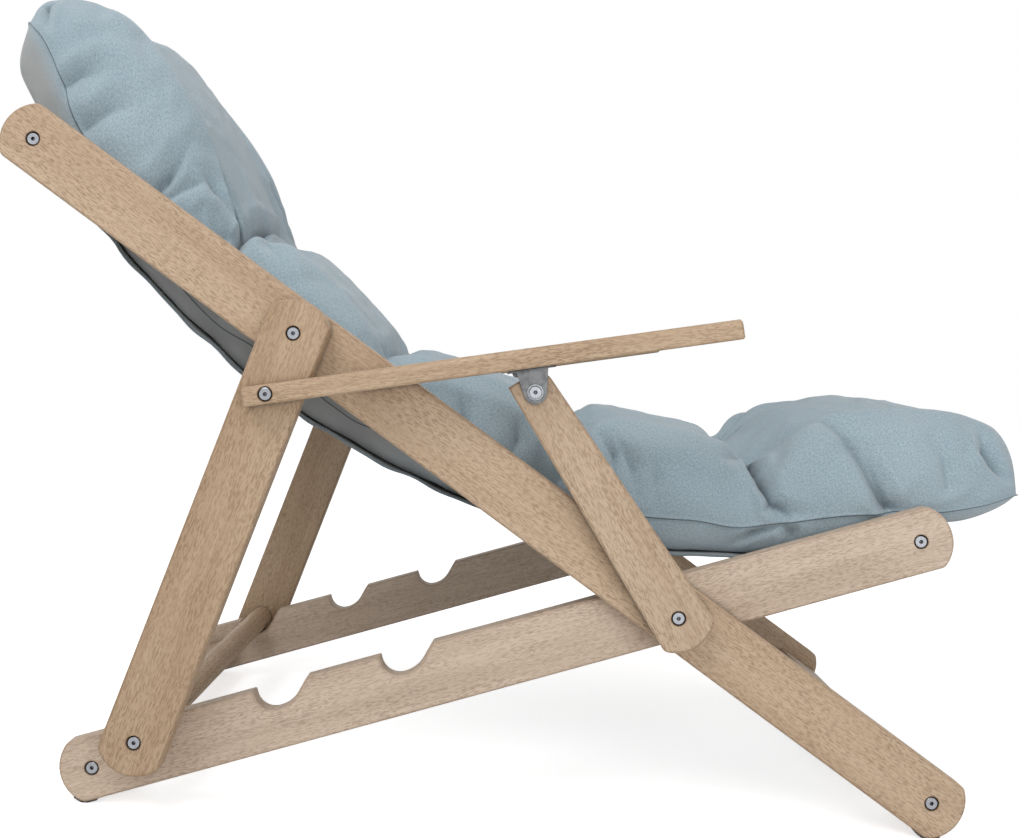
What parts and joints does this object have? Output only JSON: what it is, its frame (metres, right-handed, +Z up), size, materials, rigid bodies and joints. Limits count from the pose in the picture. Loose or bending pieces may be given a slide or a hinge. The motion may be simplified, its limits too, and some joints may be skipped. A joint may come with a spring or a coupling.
{
  "type": "folding reclining lounge chair",
  "caption": "Folding wooden lounge chair with a notched adjustable back, flat armrests on steel brackets and a thick tufted cushion on a hanging cloth sling.",
  "frame": {"origin": "on the floor, under the middle of the chair's outline", "axes": "+X to the front, where the legs of the sitter lie; +Y to the sitter's left; +Z up"},
  "size_m": [1.135, 0.642, 0.8711],
  "materials": {
    "beech": "planed beech with eased edges, thin matt oil, short darker flecks along the grain",
    "zinc_steel": "bright zinc-plated steel, lightly scuffed",
    "cushion_cloth": "matt blue-grey canvas in a plain weave",
    "sling_cloth": "the same blue-grey canvas, in one firm layer",
    "glide_rubber": "dark matt rubber"
  },
  "bodies": {
    "back_frame": {"back_rail_left": "beech", "back_rail_right": "beech", "head_crossbar": "beech", "foot_crossbar": "beech", "back_crossbar_bolts": "zinc_steel", "back_crossbar_inserts": "zinc_steel", "prop_pivot_bolts": "zinc_steel", "prop_pivot_nuts": "zinc_steel", "main_pivot_bolts": "zinc_steel", "main_pivot_nuts": "zinc_steel", "prop_pivot_washers": "zinc_steel", "main_pivot_washers": "zinc_steel", "front_glide_pads": "glide_rubber", "head_cushion": "cushion_cloth", "lumbar_cushion": "cushion_cloth", "seat_cushion": "cushion_cloth", "sling": "sling_cloth"},
    "seat_frame": {"seat_rail_left": "beech", "seat_rail_right": "beech", "front_crossbar": "beech", "rear_crossbar": "beech", "seat_crossbar_bolts": "zinc_steel", "seat_crossbar_inserts": "zinc_steel", "rear_glide_pads": "glide_rubber", "thigh_cushion": "cushion_cloth", "leg_cushion": "cushion_cloth"},
    "prop_frame": {"prop_leg_left": "beech", "prop_leg_right": "beech", "prop_dowel": "beech", "prop_dowel_bolts": "zinc_steel", "prop_dowel_inserts": "zinc_steel", "arm_pivot_bolts": "zinc_steel", "arm_pivot_nuts": "zinc_steel", "arm_pivot_washers": "zinc_steel"},
    "arm_strut_left": {"arm_strut_left": "beech", "bracket_bolt_left": "zinc_steel", "bracket_nut_left": "zinc_steel", "bracket_washer_left": "zinc_steel"},
    "armrest_left": {"armrest_left": "beech", "arm_bracket_left": "zinc_steel", "bracket_screws_left": "zinc_steel"},
    "arm_strut_right": {"arm_strut_right": "beech", "bracket_bolt_right": "zinc_steel", "bracket_nut_right": "zinc_steel", "bracket_washer_right": "zinc_steel"},
    "armrest_right": {"armrest_right": "beech", "arm_bracket_right": "zinc_steel", "bracket_screws_right": "zinc_steel"}
  },
  "joints": [
    {"name": "seat_hinge", "type": "hinge", "parent": "back_frame", "child": "seat_frame", "pos_m": [0.17103, 0, 0.22214], "axis": [0, -1, 0], "range_deg": [0, 20], "deforming": ["seat_cushion", "sling"]},
    {"name": "prop_hinge", "type": "hinge", "parent": "back_frame", "child": "prop_frame", "pos_m": [-0.2244, 0, 0.49422], "axis": [0, -1, 0], "range_deg": [0, 18.05]},
    {"name": "strut_hinge_left", "type": "hinge", "parent": "back_frame", "child": "arm_strut_left", "pos_m": [0.17103, 0, 0.22214], "axis": [0, -1, 0], "range_deg": [-4.83, 0]},
    {"name": "armrest_hinge_left", "type": "hinge", "parent": "prop_frame", "child": "armrest_left", "pos_m": [-0.24588, 0, 0.43288], "axis": [0, -1, 0], "range_deg": [-14.57, 0]},
    {"name": "strut_hinge_right", "type": "hinge", "parent": "back_frame", "child": "arm_strut_right", "pos_m": [0.17103, 0, 0.22214], "axis": [0, -1, 0], "range_deg": [-4.83, 0]},
    {"name": "armrest_hinge_right", "type": "hinge", "parent": "prop_frame", "child": "armrest_right", "pos_m": [-0.24588, 0, 0.43288], "axis": [0, -1, 0], "range_deg": [-14.57, 0]}
  ],
  "couplings": [
    {"joint": "prop_hinge", "follows": "seat_hinge", "ratio": 0.9},
    {"joint": "strut_hinge_left", "follows": "seat_hinge", "ratio": -0.239},
    {"joint": "armrest_hinge_left", "follows": "seat_hinge", "ratio": -0.7259},
    {"joint": "strut_hinge_right", "follows": "seat_hinge", "ratio": -0.239},
    {"joint": "armrest_hinge_right", "follows": "seat_hinge", "ratio": -0.7259}
  ]
}
